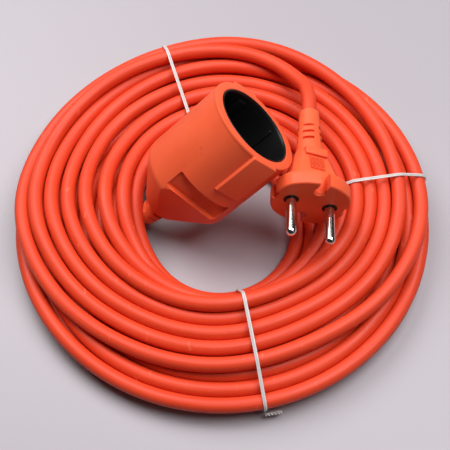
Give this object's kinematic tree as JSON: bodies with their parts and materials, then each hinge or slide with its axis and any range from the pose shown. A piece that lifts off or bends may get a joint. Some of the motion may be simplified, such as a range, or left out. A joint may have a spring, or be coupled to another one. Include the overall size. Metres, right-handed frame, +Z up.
{
  "type": "extension cord",
  "caption": "Orange unearthed extension cord in a flat round coil held by white wire ties, with a moulded contour plug and a moulded socket that has a black recessed insert.",
  "frame": {"origin": "on the floor, at the centre of the coil, which is also the centre of the part's box", "axes": "+Z up out of the flat coil; +Y from the plug's pins towards the back, where its lead leaves; +X to the right, the side the socket's mouth leans to"},
  "size_m": [0.2017, 0.2013, 0.0792],
  "materials": {
    "cord_sheath": "semi-matte extruded soft PVC",
    "plug_moulding": "semi-matte moulded soft PVC",
    "socket_moulding": "semi-matte moulded soft PVC",
    "black_insert": "fine satin, hard plastic",
    "nickel": "bright nickel plating",
    "contact_brass": "plain, as stamped",
    "core_brown": "plain core insulation",
    "core_blue": "plain core insulation",
    "copper": "bare copper strands",
    "tie_white": "white plastic over a thin wire"
  },
  "bodies": {
    "root": {"plug_body": "plug_moulding", "plug_bridge": "black_insert", "plug_pin_left": "nickel", "plug_pin_right": "nickel", "plug_core_brown": "core_brown", "plug_core_blue": "core_blue", "plug_strands_brown": "copper", "plug_strands_blue": "copper", "cord_end_in_plug": "cord_sheath", "socket_body": "socket_moulding", "socket_insert": "black_insert", "socket_face": "black_insert", "socket_carrier": "black_insert", "socket_back_cover": "black_insert", "socket_contact_left": "contact_brass", "socket_contact_right": "contact_brass", "socket_core_brown": "core_brown", "socket_core_blue": "core_blue", "socket_strands_brown": "copper", "socket_strands_blue": "copper", "cord_end_in_socket": "cord_sheath", "cord_plug_lead": "cord_sheath", "cord_socket_lead": "cord_sheath", "cord_coil": "cord_sheath", "tie_left": "tie_white", "tie_right": "tie_white", "tie_front": "tie_white"}
  },
  "joints": []
}
